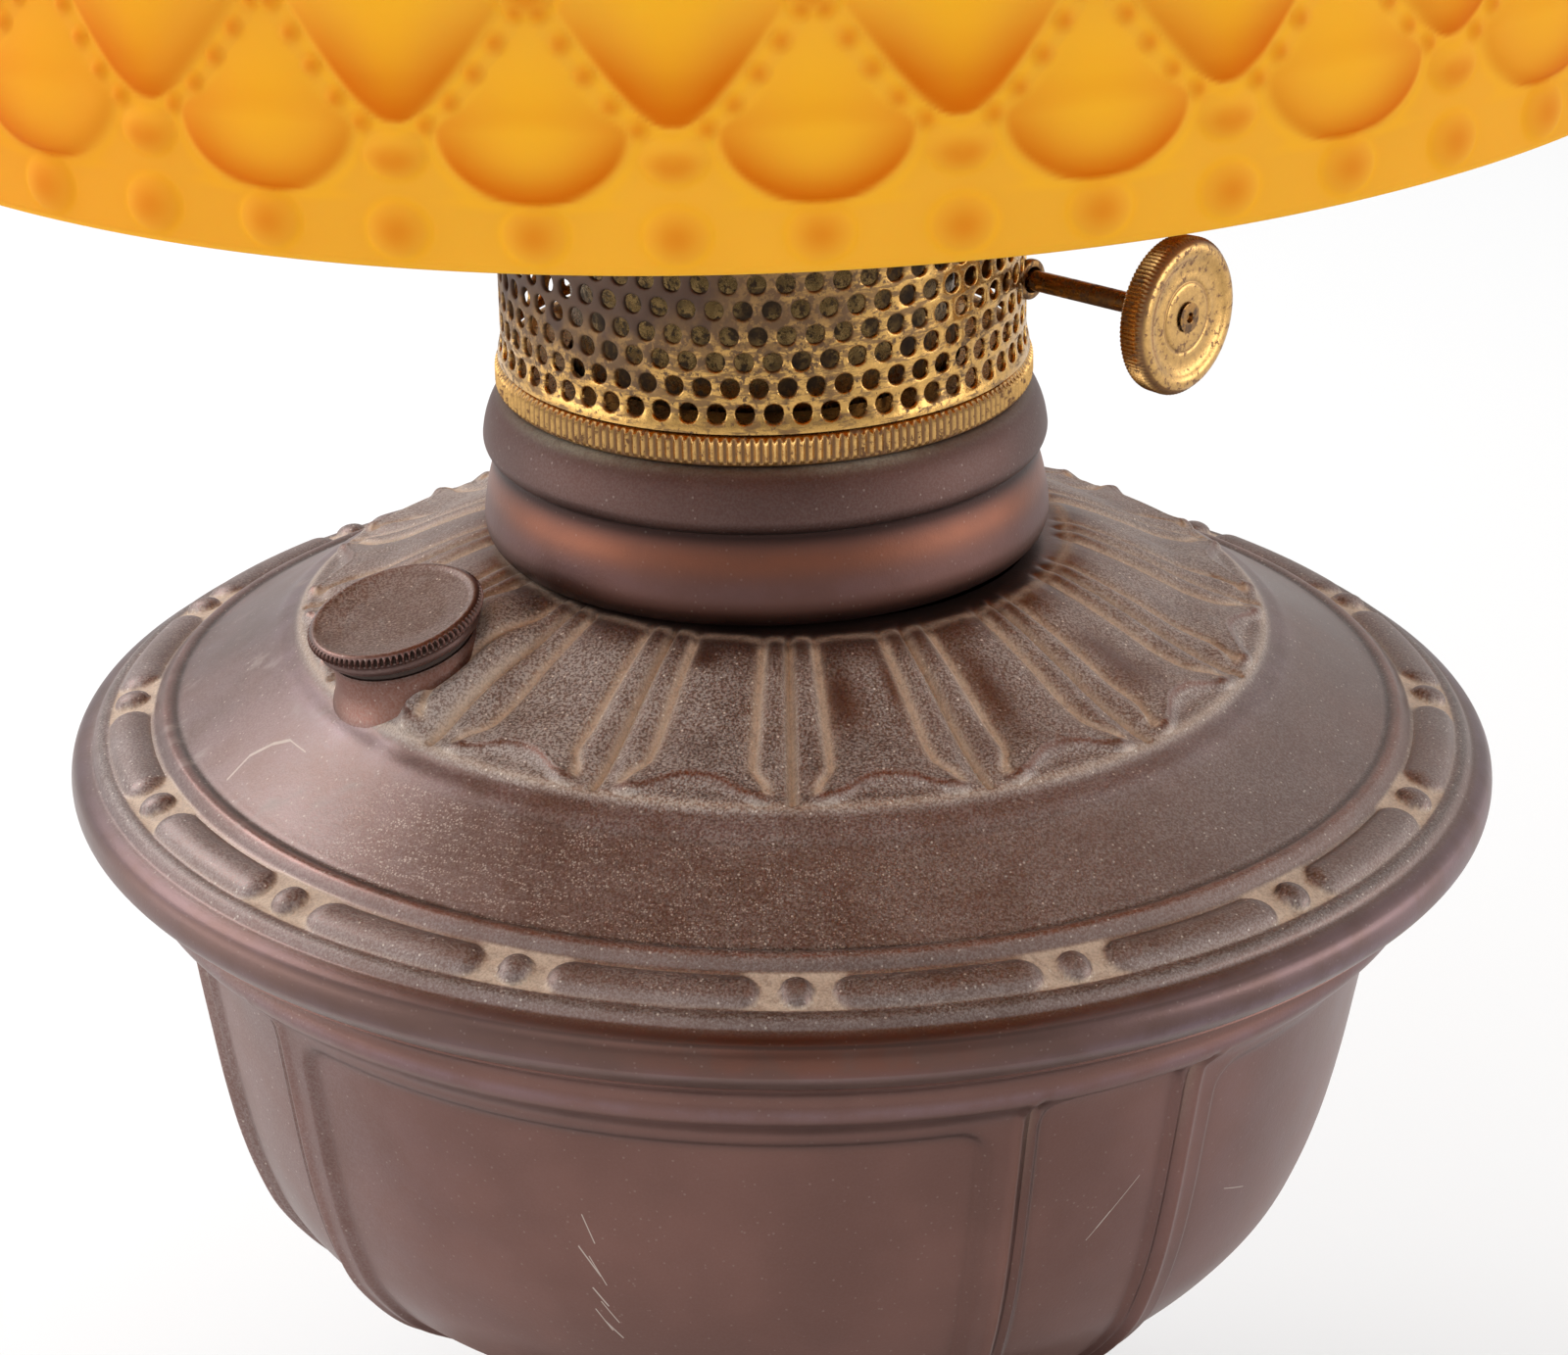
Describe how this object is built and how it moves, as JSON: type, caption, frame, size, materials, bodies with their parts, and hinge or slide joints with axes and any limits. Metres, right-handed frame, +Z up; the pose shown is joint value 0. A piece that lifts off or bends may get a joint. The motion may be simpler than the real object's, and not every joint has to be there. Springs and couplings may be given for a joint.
{
  "type": "electrified parlor lamp",
  "caption": "Centre-draught parlor lamp with a stamped bronze font, pierced brass burner, wick knob and filler cap, electrified, under a quilted amber glass dome shade.",
  "frame": {"origin": "centre of the foot's underside", "axes": "+Z up along the lamp's axis, -Y towards the front of the picture, +X to its right"},
  "size_m": [0.2548, 0.2552, 0.4003],
  "materials": {
    "bronze": "brown patinated stamped brass, satin",
    "copper_bronze": "worn copper-brown patina, satin",
    "brass": "tarnished brass",
    "aged_brass": "dark aged brass",
    "steel": "plated",
    "fibre": "pressed fibre",
    "gasket": "dull",
    "phenolic": "moulded",
    "amber_glass": "satin amber pressed glass",
    "clear_glass": "clear",
    "filament_glass": "clear stem"
  },
  "bodies": {
    "font": {"foot": "bronze", "cord_bushing": "aged_brass", "font_bowl": "bronze", "font_shoulder": "bronze", "font_collar": "copper_bronze", "draught_tube": "aged_brass", "filler_neck": "copper_bronze", "burner_ring": "brass", "burner_basket": "brass", "burner_tube": "brass", "burner_cap": "brass", "raiser_bushing": "aged_brass", "lamp_pipe": "steel", "pipe_washer": "steel", "pipe_nut": "steel", "socket_nut": "brass", "socket_cap": "brass", "socket_shell": "brass", "socket_liner": "fibre", "socket_body": "phenolic", "screw_shell": "brass", "centre_contact": "brass", "shade_band": "brass", "shade_arm_1": "brass", "shade_arm_2": "brass", "shade_arm_3": "brass", "shade_ring": "brass"},
    "filler_cap": {"filler_cap": "bronze", "filler_gasket": "gasket"},
    "wick_knob": {"wick_knob": "brass", "raiser_shaft": "aged_brass", "raiser_pinion": "brass"},
    "wick_carrier": {"wick_carrier": "aged_brass"},
    "switch_key": {"switch_key": "aged_brass"},
    "bulb": {"bulb_base": "brass", "bulb_glass": "clear_glass", "bulb_stem": "filament_glass"},
    "glass_shade": {"glass_shade": "amber_glass"}
  },
  "joints": [
    {"name": "filler_cap_lift", "type": "slide", "parent": "font", "child": "filler_cap", "axis": [-0.2322, -0.1423, 0.9622], "range_m": [0, 0.025]},
    {"name": "wick_knob_turn", "type": "hinge", "parent": "font", "child": "wick_knob", "pos_m": [0.01304, 0.0149, 0.2082], "axis": [-0.7524, 0.6587, 0], "range_deg": [0, 190]},
    {"name": "wick_lift", "type": "slide", "parent": "font", "child": "wick_carrier", "axis": [0, 0, 1], "range_m": [0, 0.01178]},
    {"name": "switch_turn", "type": "hinge", "parent": "font", "child": "switch_key", "pos_m": [-0.025, 0, 0.2666], "axis": [-1, 0, 0], "continuous": true},
    {"name": "bulb_unscrew", "type": "slide", "parent": "font", "child": "bulb", "axis": [0, 0, 1], "range_m": [0, 0.026]},
    {"name": "shade_lift", "type": "slide", "parent": "font", "child": "glass_shade", "axis": [0, 0, 1], "range_m": [0, 0.13]}
  ],
  "couplings": [
    {"joint": "wick_knob_turn", "follows": "wick_lift", "rad_per_m": 266.67}
  ]
}
